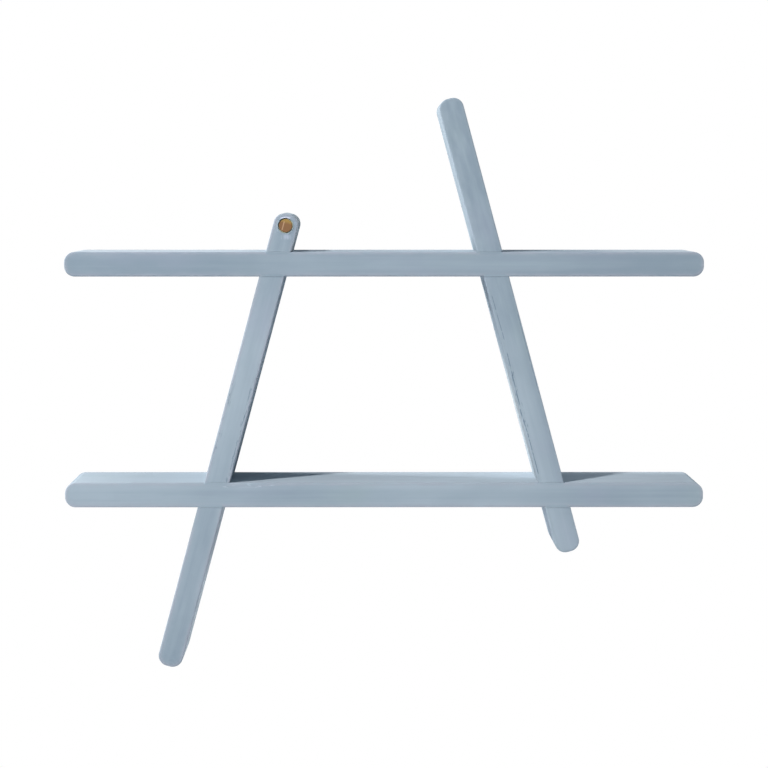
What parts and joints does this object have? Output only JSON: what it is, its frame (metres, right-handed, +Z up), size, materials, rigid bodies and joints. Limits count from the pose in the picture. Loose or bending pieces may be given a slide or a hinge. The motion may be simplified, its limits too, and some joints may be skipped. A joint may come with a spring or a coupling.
{
  "type": "wall shelf",
  "caption": "Small painted wooden wall shelf: level shelves crossed by leaning uprights with halving joints, a brass stud on one upright, keyhole plates let in at the back.",
  "frame": {"origin": "on the wall plane, at mid-height of the upper shelf, midway between the two keyholes", "axes": "+X to the right seen from the front, along the shelves; +Y towards the wall; +Z up"},
  "size_m": [0.52, 0.1204, 0.4636],
  "materials": {
    "painted_wood": "satin blue-grey paint on solid wood, grain faintly telegraphing",
    "brass": "brushed brass, lightly aged",
    "plated_steel": "bright zinc plate"
  },
  "bodies": {
    "root": {"upper_shelf": "painted_wood", "lower_shelf": "painted_wood", "left_upright": "painted_wood", "right_upright": "painted_wood", "brass_stud": "brass", "left_keyhole_plate": "plated_steel", "right_keyhole_plate": "plated_steel", "plate_screws": "plated_steel"}
  },
  "joints": []
}
